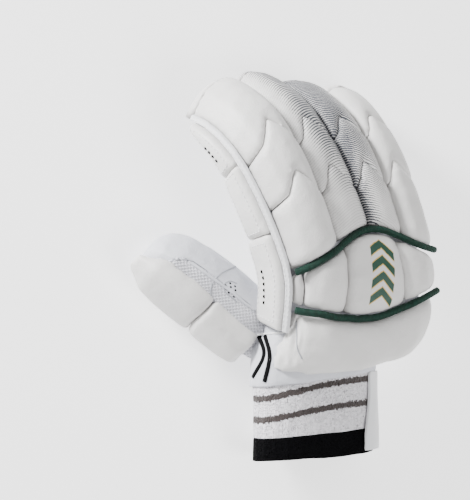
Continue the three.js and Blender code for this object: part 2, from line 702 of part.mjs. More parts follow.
function fingerPad(index, part) {
  const seams = SEAMS[index];
  const { length } = rows[index];
  const gap = SEAM / 2 / length;
  const sideGap = SEAM / 2 / ROW_PITCH;
  const columns = padColumns(index);
  const steps = part === 'tip' ? [0, 0.08, 0.3, 0.54, 0.78, 1] : [0, 0.12, 0.5, 0.88, 1];
  const place = (a, b, h) => {
    const q = 2 * a - 1;
    const u = index + mix(sideGap, 1 - sideGap, a);
    let from = seamAt(seams, 'far', q) + gap;
    let to = 1.0;
    if (part === 'base') {
      from = cordAt('far', u) + cordHalf / length;
      to = seamAt(seams, 'near', q) - gap;
    }
    if (part === 'middle') {
      from = seamAt(seams, 'near', q) + gap;
      to = seamAt(seams, 'far', q) - gap;
    }
    return backPoint(u, mix(from, to, b), h);
  };
  const high = (a, b) => {
    const q = 2 * a - 1;
    const near = smooth(b / 0.14);
    const far = smooth((1 - b) / 0.14);
    const end = part === 'base' ? mix(0.78, 1, near) : mix(0.86, 1, near);
    return crown(q, outerSide(index)) * end * (part === 'tip' ? 1 : mix(0.86, 1, far));
  };
  return slab(place, columns, steps, () => PAD_SEAT, high);
}

FINGERS.forEach((finger, index) => {
  ['base', 'middle', 'tip'].forEach((part) => {
    addPiece(`pad_${finger.name}_${part}`, fingerPad(index, part), PAD_LEATHER);
  });
});

// Rounded cap of each pad over the fingertip, and the band under it
FINGERS.forEach((finger, index) => {
  const gap = SEAM / ROW_PITCH;
  const frame = rowAt(index, 1);
  const { length } = rows[index];
  const place = (a, b, h) => {
    const u = index + mix(gap / 2, 1 - gap / 2, a);
    return backPoint(u, 1 + mix(SEAM, STALL_CAP * 1.5, b) / length, h);
  };
  const high = (a, b) => {
    const q = 2 * a - 1;
    return crown(q, outerSide(index)) * mix(1, 0.42, b ** 2);
  };
  const pad = slab(place, padColumns(index), [0, 0.5, 1], () => PAD_SEAT, high);
  addPiece(`tip_cap_${finger.name}`, pad, PAD_LEATHER);
  const band = (a, b, h) => {
    const angle = mix(radians(-172), radians(-8), a);
    const cx = Math.cos(angle);
    const cz = Math.sin(angle);
    const round = (Math.abs(cx) ** 2.4 + Math.abs(cz) ** 2.4) ** (-1 / 2.4);
    const t = 1 + mix(-0.035, 0.012, b);
    const skin = stallPoint(index, cx * round, cz * round, t);
    return skin.addScaledVector(frame.across, cx * round * h).addScaledVector(rowAt(index, t).out, cz * round * h);
  };
  const cols = [0, 0.13, 0.28, 0.5, 0.72, 0.87, 1];
  const bandGeometry = slab(band, cols, [0, 1], () => FIT + 0.5, () => FIT + 1.9);
  bandGeometry.index.array.reverse();
  addPiece(`tip_band_${finger.name}`, bandGeometry, WHITE_LEATHER);
});

// Pads between the cords
HAND_PADS.forEach((row) => {
  const gap = SEAM / 2 / ROW_PITCH;
  const wide = row.to - row.from;
  const count = Math.max(3, Math.round(wide * 4));
  const columns = [0, 0.06];
  for (let k = 1; k < count; k += 1) {
    columns.push(k / count);
  }
  columns.push(0.94, 1);
  const place = (a, b, h) => {
    const slant = 0.14 * (1 - 2 * b);
    const from = row.from > 2 ? row.from + slant : row.from;
    const to = row.to > 2 && row.to < 4 ? row.to + slant : row.to;
    const u = mix(from + gap, to - gap, a);
    const length = rows[Math.min(3, Math.floor(u))].length;
    const t = mix(cordAt('near', u) + cordHalf / length, cordAt('far', u) - cordHalf / length, b);
    return backPoint(u, t, h);
  };
  const high = (a, b) => {
    const side = Math.min(smooth((a * wide) / 0.16), smooth(((1 - a) * wide) / 0.16));
    const end = Math.min(smooth(b / 0.2), smooth((1 - b) / 0.2));
    const outer = row.to === 4 ? mix(0.6, 1, smooth((1 - a) / 0.4)) : 1;
    return HAND_PAD_RISE * row.rise * outer * mix(0.72, 1, side) * mix(0.78, 1, end);
  };
  addPiece(row.name, slab(place, columns, [0, 0.16, 0.5, 0.84, 1], () => PAD_SEAT, high), PAD_LEATHER);
});

// Wrist roll between the near cord and the cuff
{
  const columns = [0, 0.04, 0.14, 0.28, 0.42, 0.56, 0.7, 0.84, 0.96, 1];
  const place = (a, b, h) => {
    const u = mix(0.12, 3.93, a);
    const length = rows[Math.min(3, Math.floor(u))].length;
    const hang = mix(ROLL_REACH, -ROLL_REACH, smooth(Math.abs(a - 0.4) / 0.65));
    const t = mix(-hang / length, cordAt('near', u) - cordHalf / length, b);
    return handSkin(u, t, PAD_SEAT).lerp(backPoint(u, t, ROLL_RISE), h);
  };
  const high = (a, b) => {
    const side = Math.min(smooth(a / 0.06), smooth((1 - a) / 0.08));
    const round = Math.max(0, 1 - Math.abs(2 * b - 1) ** 2.6) ** 0.5;
    return mix(0.6, 1, side) * mix(0.5, 1, round);
  };
  const roll = slab(place, columns, [0, 0.12, 0.35, 0.65, 0.88, 1], () => 0, high);
  const seat = solid(solidFromRings(offsetRings(handOuter, FIT)));
  addPiece('wrist_roll', fromSolid(largest(solid(roll).subtract(seat))), PAD_LEATHER);
}

// Cords of piping over the back
function cord(which) {
  const points = [];
  for (let k = 0; k <= 24; k += 1) {
    const u = mix(0.05, 3.9, k / 24);
    points.push(backPoint(u, cordAt(which, u), CORD_HEIGHT));
  }
  const path = new THREE.CatmullRomCurve3(points);
  const shape = new THREE.Shape();
  for (let k = 0; k < 6; k += 1) {
    const angle = (2 * Math.PI * k) / 6;
    const x = (CORD_DIAMETER / 2) * Math.cos(angle);
    const y = (CORD_DIAMETER / 2) * Math.sin(angle);
    if (k === 0) {
      shape.moveTo(x, y);
    } else {
      shape.lineTo(x, y);
    }
  }
  shape.closePath();
  return new THREE.ExtrudeGeometry(shape, { steps: 20, bevelEnabled: false, extrudePath: path });
}
addPiece('cord_near_wrist', cord('near'), GREEN_CORD);
addPiece('cord_near_fingers', cord('far'), GREEN_CORD);

// Side bar on the index side, and the gusset over it
function sidePoint(v, t, w) {
  const edge = lineAt(0, t);
  const frame = rowAt(0, t);
  return edge.point.addScaledVector(frame.out, -v).addScaledVector(frame.across, -w);
}

const barSeat = SIDE_BULGE + FIT + 1.5;

BARS.forEach((row) => {
  const columns = [0, 0.1, 0.35, 0.65, 0.9, 1];
  const steps = [0, 0.06, 0.28, 0.5, 0.72, 0.94, 1];
  const place = (a, b, h) => {
    const t = mix(row.from, row.to, b);
    const top = BAR_DEPTH * row.top;
    const bottom = BAR_DEPTH * mix(row.near, row.far, b);
    return sidePoint(mix(top, bottom, a), t, barSeat + h);
  };
  const high = (a, b) => {
    const side = Math.min(smooth(a / 0.16), smooth((1 - a) / 0.16));
    const end = Math.min(smooth(b / 0.1), smooth((1 - b) / 0.1));
    return BAR_THICKNESS * mix(0.68, 1, side) * mix(0.78, 1, end);
  };
  const low = (a, b) => -BAR_THICKNESS * mix(row.tuckNear, row.tuckFar, b) * smooth((a - 0.5) / 0.15);
  const geometry = slab(place, columns, steps, low, high);
  geometry.index.array.reverse();
  addPiece(row.name, geometry, PAD_LEATHER);
});

{
  const steps = [];
  for (let k = 0; k <= 11; k += 1) {
    steps.push(k / 11);
  }
  const place = (a, b, h) => {
    const t = mix(0.105, 0.985, b);
    const v = mix(-PAD_SIDE * 1.05, BAR_DEPTH * -0.2, a);
    const w = mix(3.2, 5.4, a) + h;
    return sidePoint(v, t, w);
  };
  const geometry = slab(place, [0, 0.5, 1], steps, () => 0, () => GUSSET_THICKNESS);
  geometry.index.array.reverse();
  addPiece('side_gusset', geometry, WHITE_LEATHER);
}

// Laying the glove down: it rests on the palm side of its convex hull, on the face that
// its centre of mass stands over, and the floor presses in the leather a little there.

function balance(meshes) {
  const centre = new THREE.Vector3();
  let volume = 0;
  meshes.forEach((mesh) => {
    const position = mesh.geometry.attributes.position;
    const index = mesh.geometry.index ? mesh.geometry.index.array : null;
    const count = index ? index.length : position.count;
    const corner = (k) => new THREE.Vector3().fromBufferAttribute(position, index ? index[k] : k);
    for (let k = 0; k < count; k += 3) {
      const a = corner(k);
      const b = corner(k + 1);
      const c = corner(k + 2);
      const part = a.dot(b.clone().cross(c)) / 6;
      volume += part;
      centre.addScaledVector(a.add(b).add(c), part / 4);
    }
  });
  return centre.multiplyScalar(1 / volume);
}

function cornersOf(meshes) {
  const corners = [];
  meshes.forEach((mesh) => {
    const position = mesh.geometry.attributes.position;
    for (let k = 0; k < position.count; k += 1) {
      corners.push(new THREE.Vector3().fromBufferAttribute(position, k));
    }
  });
  return corners;
}

function restingFace(corners, centre) {
  const hull = new ConvexHull().setFromPoints(corners);
  let best = null;
  hull.faces.forEach((face) => {
    const foot = centre.clone().addScaledVector(face.normal, -face.distanceToPoint(centre));
    let edge = face.edge;
    let inside = true;
    do {
      const from = edge.tail().point;
      const side = edge.head().point.clone().sub(from);
      if (side.cross(foot.clone().sub(from)).dot(face.normal) < 0) {
        inside = false;
      }
      edge = edge.next;
    } while (edge !== face.edge);
    if (inside && (!best || face.normal.z < best.normal.z)) {
      best = face;
    }
  });
  return best;
}

const pieces = glove.children.slice();
const corners = cornersOf(pieces);
const floorFace = restingFace(corners, balance(pieces));
const lay = new THREE.Quaternion().setFromUnitVectors(floorFace.normal, new THREE.Vector3(0, 0, -1));
const fingersWay = new THREE.Vector3(0, 1, 0).applyQuaternion(lay);
const turn = new THREE.Quaternion().setFromAxisAngle(
  new THREE.Vector3(0, 0, 1),
  Math.atan2(fingersWay.x, fingersWay.y),
);
glove.quaternion.copy(turn.multiply(lay));
const box = new THREE.Box3().setFromPoints(corners.map((p) => p.clone().applyQuaternion(glove.quaternion)));
glove.position.set(
  -(box.min.x + box.max.x) / 2,
  -(box.min.y + box.max.y) / 2,
  -box.min.z - FLOOR_PRESS,
);
glove.updateMatrixWorld(true);

const floorBlock = new THREE.BoxGeometry(900, 900, 80);
floorBlock.translate(0, 0, -40);
floorBlock.applyMatrix4(glove.matrixWorld.clone().invert());
const floorSolid = solid(floorBlock);
pieces.forEach((mesh) => {
  const low = cornersOf([mesh]).some((p) => glove.localToWorld(p).z < -1e-4);
  if (low) {
    mesh.geometry = fromSolid(solid(mesh.geometry).subtract(floorSolid));
  }
});

export default glove;
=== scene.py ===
import math

import bpy
import numpy as np
from mathutils import Matrix, Quaternion, Vector, kdtree, noise
from mathutils.bvhtree import BVHTree


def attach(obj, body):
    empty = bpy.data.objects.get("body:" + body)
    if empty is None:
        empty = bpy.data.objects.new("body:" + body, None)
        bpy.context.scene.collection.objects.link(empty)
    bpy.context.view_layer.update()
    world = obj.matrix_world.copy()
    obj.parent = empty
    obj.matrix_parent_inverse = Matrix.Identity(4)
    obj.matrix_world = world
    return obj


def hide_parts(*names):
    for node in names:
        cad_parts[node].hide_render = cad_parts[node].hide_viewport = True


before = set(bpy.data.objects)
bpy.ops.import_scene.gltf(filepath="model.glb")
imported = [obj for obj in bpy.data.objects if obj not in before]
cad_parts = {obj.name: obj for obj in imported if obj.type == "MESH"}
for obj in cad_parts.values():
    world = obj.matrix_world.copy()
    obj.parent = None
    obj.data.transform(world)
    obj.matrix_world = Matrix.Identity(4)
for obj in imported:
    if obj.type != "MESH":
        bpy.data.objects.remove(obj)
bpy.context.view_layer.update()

# Where the flat hand lies in the row frame: its turn and its place in metres.
# In the hand's own frame the wrist is the origin, +Y the fingers, +X the little
# finger side and +Z the back of the hand.
TURN = Quaternion((0.993987116, 0.084848595, 0.068961409, 0.005886675))
PLACE = np.array([0.02049028, -0.07442113, 0.03773048])
SPIN = np.array(TURN.to_matrix())

# The photograph's view in the hand's frame: to the camera, up and right
SEEN = np.array([-0.53, 0.0, 0.848])
SEEN_UP = np.array([0.0, 1.0, 0.0])
SEEN_RIGHT = np.array([0.848, 0.0, 0.53])

FINGERS = ("index", "middle", "ring", "little")
CUFF_WIDTH = 97
HAND_LENGTH = 84
HAND_DEPTH = 54
FINGER_LENGTH = 158
ROW_PITCH = 28.2
HAND_OFFSET = 22
HAND_HEIGHT = 26
BACK_LENGTH = 240  # mm along the back for t from 0 to 1, in the print and the mark
EDGE_TILT = 25
EDGE_REACH = 1.12
BAR_HEIGHT = 27

# The finger rows: place in row pitches, height, hand and finger as shares, angles in degrees
ROWS = [
    dict(place=-1.5, height=0.77, hand=0.93, finger=0.965, hand_lean=-0.5,
         lean=15.2, back=-16, knuckle=3, middle=25.5, tip=79),
    dict(place=-0.5, height=1, hand=1, finger=1, hand_lean=-5.5,
         lean=12.1, back=-7, knuckle=11.3, middle=31, tip=78),
    dict(place=0.5, height=1, hand=1, finger=0.91, hand_lean=-5.5,
         lean=8.8, back=-6, knuckle=12.5, middle=30, tip=74),
    dict(place=1.5, height=0.77, hand=0.93, finger=0.89, hand_lean=-5,
         lean=6.5, back=-12.6, knuckle=14, middle=28, tip=65.5),
]

# Thumb: root in the hand's frame, angle out and down, and roll of the nail, in degrees
THUMB_ROOT = np.array([CUFF_WIDTH * -0.186, HAND_LENGTH * 0.06, HAND_DEPTH * -0.222])
THUMB_OUT, THUMB_DROP, THUMB_ROLL = math.radians(49.3), math.radians(18.7), math.radians(20.3)


def unit(v):
    v = np.asarray(v, float)
    return v / np.linalg.norm(v)


THUMB_ALONG = np.array([
    -math.sin(THUMB_OUT) * math.cos(THUMB_DROP),
    math.cos(THUMB_OUT) * math.cos(THUMB_DROP),
    -math.sin(THUMB_DROP),
])
_level = -unit(np.cross(THUMB_ALONG, (0, 0, 1)))
_upright = unit(np.cross(_level, THUMB_ALONG))
THUMB_NAIL = _level * math.cos(THUMB_ROLL) - _upright * math.sin(THUMB_ROLL)
THUMB_UP = unit(np.cross(THUMB_ALONG, THUMB_NAIL))


def row_frame(p):
    """Row frame, metres, from the hand's frame, millimetres."""
    return (np.asarray(p, float) / 1000) @ SPIN.T + PLACE


def hand_frame(p):
    """Hand's frame, millimetres, from the row frame, metres."""
    return ((np.asarray(p, float) - PLACE) @ SPIN) * 1000


def smooth(x):
    x = np.clip(x, 0, 1)
    return x * x * (3 - 2 * x)


# The back of the hand as a surface: u counts rows from 0 to 4, t is a share of their length

STEPS = 160


def make_row(r):
    hand = HAND_LENGTH * r["hand"]
    reach = FINGER_LENGTH * r["finger"]
    length = hand + reach
    s = np.linspace(0, length, STEPS + 1)
    slope = np.radians(np.interp(
        s, [0, hand - HAND_LENGTH * 0.42, hand, hand + reach / 2, length],
        [r["back"], r["back"], r["knuckle"], r["middle"], r["tip"]]))
    lean = np.radians(np.interp(
        s, [0, hand - HAND_LENGTH * 0.3, hand + FINGER_LENGTH * 0.065, length],
        [r["hand_lean"], r["hand_lean"], r["lean"], r["lean"]]))
    along = np.stack([-np.sin(lean) * np.cos(slope), np.cos(lean) * np.cos(slope), -np.sin(slope)], 1)
    across = np.stack([np.cos(lean), np.sin(lean), 0 * lean], 1)
    out = np.cross(across, along)
    step = (along[1:] + along[:-1]) * (length / STEPS / 2)
    start = np.array([HAND_OFFSET + ROW_PITCH * r["place"], 0, HAND_HEIGHT * r["height"]])
    point = np.vstack([start, start + np.cumsum(step, 0)])
    return dict(length=length, along=along, across=across, out=out, point=point)


rows = [make_row(r) for r in ROWS]


def row_at(i, t):
    row = rows[i]
    t = np.asarray(t, float)
    k = np.clip(t, 0, 1) * STEPS
    lo = np.minimum(k.astype(int), STEPS - 1)
    f = (k - lo)[..., None]
    out = {key: row[key][lo] * (1 - f) + row[key][lo + 1] * f for key in ("along", "across", "out", "point")}
    over = np.where(t > 1, t - 1, np.minimum(t, 0))[..., None]
    out["point"] = out["point"] + out["along"] * over * row["length"]
    return out


def line_at(line, t):
    if 0 < line < 4:
        a, b = row_at(line - 1, t), row_at(line, t)
        out = a["out"] + b["out"]
        return (a["point"] + b["point"]) / 2, out / np.linalg.norm(out, axis=-1, keepdims=True)
    side = -1 if line == 0 else 1
    outer = row_at(0 if line == 0 else 3, t)
    inner = row_at(1 if line == 0 else 2, t)
    half = np.linalg.norm(outer["point"] - inner["point"], axis=-1, keepdims=True) / 2 * EDGE_REACH
    tilt = math.radians(EDGE_TILT)
    beside = outer["across"] * side * math.cos(tilt) * half
    point = outer["point"] + beside - outer["out"] * math.sin(tilt) * half
    return point, outer["out"] * math.cos(tilt) + outer["across"] * side * math.sin(tilt)


def back_point(u, t, h):
    """Points over the back for one u and an array of t, in the hand's frame."""
    i = min(3, max(0, int(math.floor(u))))
    q = 2 * (u - i) - 1
    centre = row_at(i, t)
    left, right = line_at(i, t), line_at(i + 1, t)
    point = centre["point"] + (right[0] - left[0]) * q / 2
    point = point + ((right[0] + left[0]) / 2 - centre["point"]) * q * q
    out = centre["out"] + (right[1] - left[1]) * q / 2
    out = out + ((right[1] + left[1]) / 2 - centre["out"]) * q * q
    out = out / np.linalg.norm(out, axis=-1, keepdims=True)
    return point + out * h


GRID_U = np.linspace(0, 4, 97)
GRID_T = np.linspace(-0.06, 1.12, 237)
GRID_HEIGHT = 9.0
GRID = np.stack([back_point(u, GRID_T, GRID_HEIGHT) for u in GRID_U])
TREE = kdtree.KDTree(GRID.shape[0] * GRID.shape[1])
for _k, _p in enumerate(GRID.reshape(-1, 3)):
    TREE.insert(_p, _k)
TREE.balance()


def back_place(p):
    """(u, t, height) over the back for points in the hand's frame."""
    n = len(GRID_T)
    out = np.zeros((len(p), 3))
    for k, v in enumerate(p):
        _, at, _ = TREE.find(v)
        i, j = divmod(at, n)
        i2, j2 = min(i, len(GRID_U) - 2), min(j, n - 2)
        eu = GRID[i2 + 1, j2] - GRID[i2, j2]
        et = GRID[i2, j2 + 1] - GRID[i2, j2]
        d = v - GRID[i, j]
        a = d @ eu / (eu @ eu)
        b = d @ et / (et @ et)
        normal = np.cross(eu, et)
        out[k] = (
            GRID_U[i] + a * (GRID_U[1] - GRID_U[0]),
            GRID_T[j] + b * (GRID_T[1] - GRID_T[0]),
            GRID_HEIGHT + d @ (normal / np.linalg.norm(normal)),
        )
    return out


# Pieces: each starts as a copy of its CAD solid, is remeshed or cut finer, and made soft

LATER = []  # visual pieces with the CAD nodes that they stand for


def copy_of(node, name):
    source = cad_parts[node]
    mesh = source.data.copy()
    mesh.materials.clear()
    piece = bpy.data.objects.new(name, mesh)
    bpy.context.scene.collection.objects.link(piece)
    return piece


def bake(piece, *modifiers):
    """Adds the modifiers, given as (type, settings), and keeps their result as the mesh."""
    for kind, settings in modifiers:
        m = piece.modifiers.new(kind.lower(), kind)
        for key, value in settings.items():
            setattr(m, key, value)
    bpy.context.view_layer.update()
    graph = bpy.context.evaluated_depsgraph_get()
    mesh = bpy.data.meshes.new_from_object(piece.evaluated_get(graph))
    piece.modifiers.clear()
    old = piece.data
    piece.data = mesh
    bpy.data.meshes.remove(old)
    for f in mesh.polygons:
        f.use_smooth = True
    return piece


def points_of(piece):
    co = np.zeros(len(piece.data.vertices) * 3, np.float32)
    piece.data.vertices.foreach_get("co", co)
    return co.reshape(-1, 3).astype(float)


def normals_of(piece):
    n = np.zeros(len(piece.data.vertices) * 3, np.float32)
    piece.data.vertices.foreach_get("normal", n)
    return n.reshape(-1, 3).astype(float)


def set_points(piece, co):
    co = np.asarray(co, float).copy()
    co[:, 2] = np.maximum(co[:, 2], 0.0)
    piece.data.vertices.foreach_set("co", co.astype(np.float32).ravel())
    piece.data.update()


def note(piece, name, values):
    """A vector attribute on the piece's points, read by its material."""
    kept = piece.data.attributes
    found = kept.get(name) or kept.new(name, "FLOAT_VECTOR", "POINT")
    found.data.foreach_set("vector", np.asarray(values, np.float32).ravel())


def fuller_thumb(piece):
    """The thumb's leather swells to the index finger between its root and its tip."""
    hand = hand_frame(points_of(piece))
    away = hand - THUMB_ROOT
    s = away @ THUMB_ALONG / 126
    a = away @ THUMB_UP
    swell = (2.5 + 6.5 * (1 - s)) * smooth((s - 0.12) / 0.2) * smooth((1.02 - s) / 0.2) * smooth(a / 14)
    hand = hand + THUMB_UP * swell[:, None]
    set_points(piece, row_frame(hand))
    note(piece, "hand", hand)


def finish_piece(piece, nodes, look):
    piece.data.materials.clear()
    piece.data.materials.append(look)
    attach(piece, "root")
    if nodes:
        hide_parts(*nodes)


def crumple(co, size, seed=0.0):
    """Smooth noise from -1 to 1 at each point, for folds of about that size in metres."""
    off = Vector((seed * 7.1, seed * 3.7, seed * 5.3))
    return np.array([noise.noise(Vector(c) / size + off) for c in co])


def soft_pad(node, name, look, voxel=0.0021, rounds=7, puff=0.0006, dent=0.0004, slot="pad_leather"):
    piece = copy_of(node, name)
    bake(piece, ("REMESH", dict(mode="VOXEL", voxel_size=voxel, use_smooth_shade=True)))
    bake(piece, ("SMOOTH", dict(factor=0.5, iterations=rounds)))
    co, n = points_of(piece), normals_of(piece)
    seed = len(LATER) + 1.0
    move = puff + dent * crumple(co, 0.022, seed) + dent * 0.5 * crumple(co, 0.009, seed + 0.5)
    set_points(piece, co + n * move[:, None])
    bake(piece, ("SUBSURF", dict(levels=1, render_levels=1)))
    hand = hand_frame(points_of(piece))
    note(piece, "hand", hand)
    LATER.append((piece, [node], slot, look, "padded"))
    return piece


def soft_skin(node, name, look, cuts=2, rounds=8, dent=0.0, size=0.02, slot="palm_leather"):
    piece = copy_of(node, name)
    bake(piece, ("WELD", dict(merge_threshold=0.00002)))
    bake(piece, ("SUBSURF", dict(levels=cuts, render_levels=cuts, subdivision_type="SIMPLE")))
    if rounds:
        bake(piece, ("SMOOTH", dict(factor=0.5, iterations=rounds)))
    if dent:
        co, n = points_of(piece), normals_of(piece)
        set_points(piece, co + n * (dent * crumple(co, size, len(LATER) + 2.0))[:, None])
    note(piece, "hand", hand_frame(points_of(piece)))
    LATER.append((piece, [node], slot, look, None))
    return piece


# Materials

class Look:
    """A material with a few short words for its shader nodes."""

    def __init__(self, name, color, roughness, **sockets):
        self.material = bpy.data.materials.new(name)
        self.material.use_nodes = True
        self.tree = self.material.node_tree
        self.shader = self.tree.nodes["Principled BSDF"]
        self.shader.inputs["Base Color"].default_value = (*color, 1)
        self.shader.inputs["Roughness"].default_value = roughness
        for key, value in sockets.items():
            self.shader.inputs[key.replace("_", " ")].default_value = value

    def node(self, kind, **settings):
        n = self.tree.nodes.new(kind)
        for key, value in settings.items():
            setattr(n, key, value)
        return n

    def put(self, value, socket):
        if isinstance(value, bpy.types.NodeSocket):
            self.tree.links.new(value, socket)
        else:
            socket.default_value = value

    def maths(self, operation, a, b=0.0, c=0.0):
        n = self.node("ShaderNodeMath", operation=operation)
        for k, v in enumerate((a, b, c)):
            self.put(v, n.inputs[k])
        return n.outputs[0]

    def times(self, a, b):
        return self.maths("MULTIPLY", a, b)

    def minus(self, a, b):
        return self.maths("SUBTRACT", a, b)

    def size(self, value):
        return self.maths("ABSOLUTE", value)

    def wave(self, value, period):
        """A wave from 0 to 1."""
        turn = self.times(value, 2 * math.pi / period)
        return self.maths("MULTIPLY_ADD", self.maths("SINE", turn), 0.5, 0.5)

    def repeat(self, value, pitch, shift=0.0):
        """From -0.5 to 0.5 in each step of a pitch."""
        steps = self.maths("ADD", self.maths("DIVIDE", value, pitch), shift)
        return self.minus(self.maths("FRACT", steps), 0.5)

    def reach(self, x, y):
        """Distance from the middle."""
        return self.maths("SQRT", self.maths("ADD", self.times(x, x), self.times(y, y)))

    def attribute(self, name):
        """The three numbers of a vector attribute."""
        n = self.node("ShaderNodeAttribute", attribute_name=name)
        split = self.node("ShaderNodeSeparateXYZ")
        self.tree.links.new(n.outputs["Vector"], split.inputs[0])
        return split.outputs

    def place(self):
        return self.node("ShaderNodeTexCoord").outputs["Object"]

    def noise(self, scale, detail=3.0):
        n = self.node("ShaderNodeTexNoise")
        n.inputs["Scale"].default_value = scale
        n.inputs["Detail"].default_value = detail
        n.inputs["Roughness"].default_value = 0.5
        self.tree.links.new(self.place(), n.inputs["Vector"])
        return n.outputs[0]

    def cells(self, scale):
        n = self.node("ShaderNodeTexVoronoi", feature="F1")
        n.inputs["Scale"].default_value = scale
        self.tree.links.new(self.place(), n.inputs["Vector"])
        return n.outputs["Distance"]

    def ramp(self, value, low, high, to_low=0.0, to_high=1.0):
        n = self.node("ShaderNodeMapRange", interpolation_type="SMOOTHSTEP")
        self.put(value, n.inputs["Value"])
        n.inputs["From Min"].default_value = low
        n.inputs["From Max"].default_value = high
        n.inputs["To Min"].default_value = to_low
        n.inputs["To Max"].default_value = to_high
        return n.outputs["Result"]

    def blend(self, factor, a, b):
        n = self.node("ShaderNodeMix", data_type="RGBA")
        self.put(factor, n.inputs["Factor"])
        for value, key in ((a, 6), (b, 7)):
            self.put(value, n.inputs[key])
        return n.outputs[2]

    def paint(self, color):
        self.tree.links.new(color, self.shader.inputs["Base Color"])

    def bump(self, *layers):
        """Layers of (height, distance in metres)."""
        before = None
        for height, distance in layers:
            n = self.node("ShaderNodeBump")
            n.inputs["Strength"].default_value = 1.0
            n.inputs["Distance"].default_value = distance
            self.tree.links.new(height, n.inputs["Height"])
            if before is not None:
                self.tree.links.new(before, n.inputs["Normal"])
            before = n.outputs["Normal"]
        self.tree.links.new(before, self.shader.inputs["Normal"])


def leather(name, color, roughness=0.48, grain=850, wear=0.03, depth=0.00012, fold=0.0006, painted_seam_shade=False):
    look = Look(name, color, roughness)
    cells = look.cells(grain)
    fine = look.noise(grain * 2.2, 2.0)
    wide = look.noise(38, 4.0)
    soft = look.noise(120, 4.0)
    darker = tuple(c * (1 - 2.2 * wear) for c in color) + (1,)
    tone = look.blend(look.ramp(wide, 0.35, 0.7), darker, (*color, 1))
    # Painted shade: the leather is painted darker where it lies low over the back, in the valleys and seams
    # between the pads.
    if painted_seam_shade:
        _, _, height = look.attribute("back")
        shade = tuple(c * 0.42 for c in color) + (1,)
        tone = look.blend(look.ramp(height, 10.5, 3.5, 0.0, 0.72), tone, shade)
    look.tone = tone
    look.paint(tone)
    look.bump((cells, depth), (fine, depth * 0.5), (soft, fold))
    rough = look.ramp(wide, 0.3, 0.7, roughness + 0.06, roughness - 0.04)
    look.tree.links.new(rough, look.shader.inputs["Roughness"])
    return look


WHITE = (0.64, 0.63, 0.618)
PALM = (0.55, 0.56, 0.605)
GREEN = (0.004, 0.045, 0.026)
GOLD = (0.55, 0.36, 0.08)
INK = (0.04, 0.043, 0.055)
BROWN = (0.05, 0.04, 0.038)
BLACK = (0.003, 0.003, 0.0035)
TRIM = (0.66, 0.665, 0.68)

PRINT_PITCH = 1.85  # mm from one printed line to the next
HOLE_PITCH = 11.0  # mm from one pair of air holes to the next
RIB_PITCH = 2.1  # mm from rib to rib of the knit
# Stripes of the cuff: height at the middle in mm, slope and bend over the width
STRIPES = ((-13.3, 0.1389, -0.00185), (-30.1, 0.119, -0.00162))


def printed_leather():
    """White pad leather with the fine curved lines that are printed over two fingers."""
    look = leather("pad_leather_printed", WHITE, painted_seam_shade=True)
    u, t, _ = look.attribute("back")
    mask, _, _ = look.attribute("print")
    aside = look.maths("POWER", look.size(look.minus(u, 2.0)), 1.5)
    line = look.wave(look.maths("MULTIPLY_ADD", aside, 11.0, t), PRINT_PITCH)
    cut = look.minus(line, look.minus(1.0, look.times(mask, 0.92)))
    look.paint(look.blend(look.ramp(cut, -0.1, 0.1), look.tone, (*INK, 1)))
    return look


def knit(name, color, stripes=False):
    """Looped knit with fine ribs, for the cuff with its two stripes and for the hem."""
    look = Look(name, color, 0.95, Sheen_Weight=0.12 if stripes else 0.0, Sheen_Roughness=0.6)
    look.shader.inputs["Specular IOR Level"].default_value = 0.2 if stripes else 0.03
    x, y, _ = look.attribute("hand")
    around, _, _ = look.attribute("cuff")
    ribs = look.wave(around, RIB_PITCH)
    fuzz = look.noise(900, 3.0)
    tuft = look.noise(420, 3.0)
    dark = tuple(c * 0.8 for c in color) + (1,)
    both = look.maths("MULTIPLY_ADD", fuzz, 0.5, look.times(tuft, 0.5))
    tone = look.blend(look.ramp(both, 0.36, 0.6), dark, (*color, 1))
    if stripes:
        rough = look.maths("MULTIPLY_ADD", tuft, 3.0, -1.5)
        jitter = look.maths("ADD", rough, look.maths("MULTIPLY_ADD", fuzz, 3.4, -1.7))
        for middle, slope, bend in STRIPES:
            bow = look.times(look.times(x, x), bend)
            line = look.maths("ADD", look.maths("MULTIPLY_ADD", x, slope, middle), bow)
            away = look.size(look.minus(look.maths("ADD", y, jitter), line))
            tone = look.blend(look.ramp(away, 2.7, 1.9), tone, (*BROWN, 1))
    look.paint(tone)
    look.bump((ribs, 0.0002), (tuft, 0.0032), (fuzz, 0.0018))
    return look


def open_mesh(name, color, pitch):
    """Mesh with rows of small round holes, in the two flat directions of attribute flat."""
    look = Look(name, color, 0.8, Sheen_Weight=0.15)
    a, b, _ = look.attribute("flat")
    near, far = (look.reach(look.repeat(a, pitch, k), look.repeat(b, pitch, k)) for k in (0.0, 0.5))
    holes = look.maths("MINIMUM", near, far)
    shade = tuple(c * 0.4 for c in color) + (1,)
    look.paint(look.blend(look.times(look.ramp(holes, 0.27, 0.17), 0.6), (*color, 1), shade))
    look.bump((look.ramp(holes, 0.16, 0.4), 0.0007), (look.noise(1300, 2.0), 0.0002))
    return look


def holed_leather():
    """Palm leather with two columns of small air holes on each finger's palm side."""
    look = leather("palm_leather_holed", PALM, 0.52, 1000, 0.03, 0.00008)
    a, along, inside = look.attribute("flat")
    x = look.minus(look.size(a), 4.4)
    y = look.times(look.repeat(along, HOLE_PITCH), HOLE_PITCH)
    hole = look.times(look.ramp(look.reach(x, y), 1.15, 0.75), look.ramp(inside, 0.4, 0.6))
    # The air holes are painted nearly black: the glove has holes there, and their dark inside is painted
    # shade.
    look.paint(look.blend(hole, look.tone, (0.05, 0.05, 0.06, 1)))
    return look


# Looks of the leathers, knits and trim

